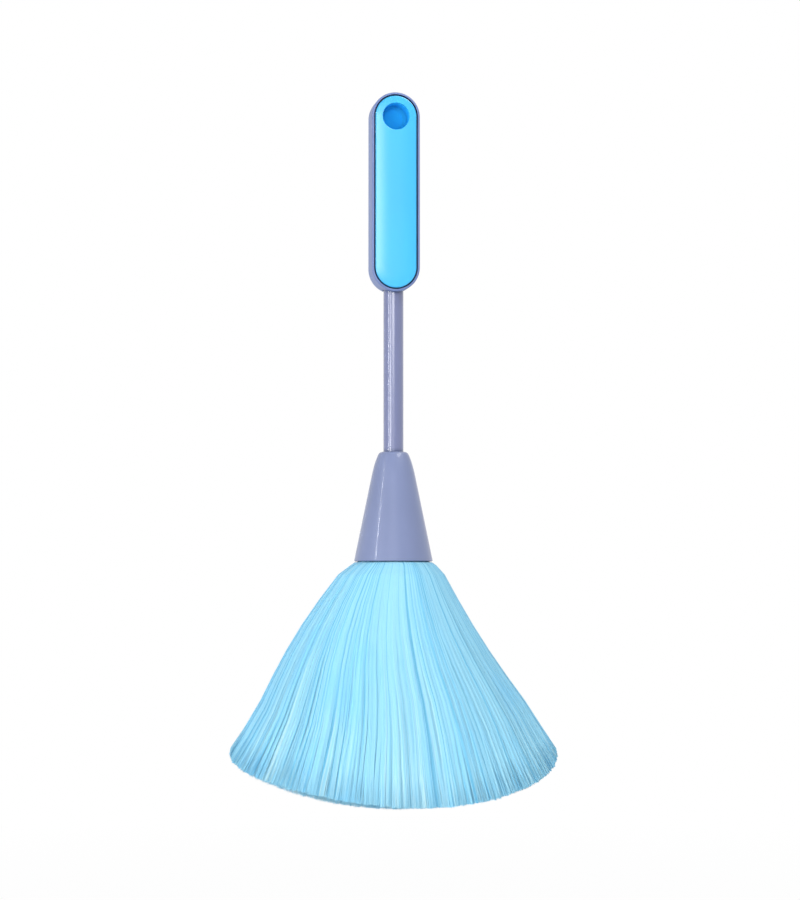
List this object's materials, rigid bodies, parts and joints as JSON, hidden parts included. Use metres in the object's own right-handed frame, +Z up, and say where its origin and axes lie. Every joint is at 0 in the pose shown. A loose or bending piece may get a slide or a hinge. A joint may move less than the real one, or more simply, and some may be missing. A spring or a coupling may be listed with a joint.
{
  "type": "static duster",
  "caption": "Hand duster with a slim handle, a round tube, a cone and a flared skirt of static fibres.",
  "frame": {"origin": "centre of the hanging socket near the top of the handle, on the line of the tube", "axes": "+Z up along the tube, from the fibres to the handle; -Y is the front, where the blue plate faces; +X to the right seen from the front"},
  "size_m": [0.1654, 0.1654, 0.3563],
  "materials": {
    "grey_shell": "satin",
    "grey_tube": "gloss",
    "grey_cone": "satin",
    "blue_plate": "gloss",
    "blue_fibre": "fine shiny fibres",
    "dark_plastic": "matte",
    "steel": "plated"
  },
  "bodies": {
    "root": {"handle_rear_shell": "grey_shell", "handle_front_cover": "blue_plate", "rod_pin": "steel", "rod": "grey_tube", "rod_end_plug": "dark_plastic", "ferrule": "grey_cone", "fibre_holder": "dark_plastic", "holder_washer": "steel", "holder_screw": "steel", "inner_tuft_1": "blue_fibre", "inner_tuft_2": "blue_fibre", "inner_tuft_3": "blue_fibre", "inner_tuft_4": "blue_fibre", "inner_tuft_5": "blue_fibre", "inner_tuft_6": "blue_fibre", "outer_tuft_01": "blue_fibre", "outer_tuft_02": "blue_fibre", "outer_tuft_03": "blue_fibre", "outer_tuft_04": "blue_fibre", "outer_tuft_05": "blue_fibre", "outer_tuft_06": "blue_fibre", "outer_tuft_07": "blue_fibre", "outer_tuft_08": "blue_fibre", "outer_tuft_09": "blue_fibre", "outer_tuft_10": "blue_fibre", "outer_tuft_11": "blue_fibre", "outer_tuft_12": "blue_fibre"}
  },
  "joints": []
}
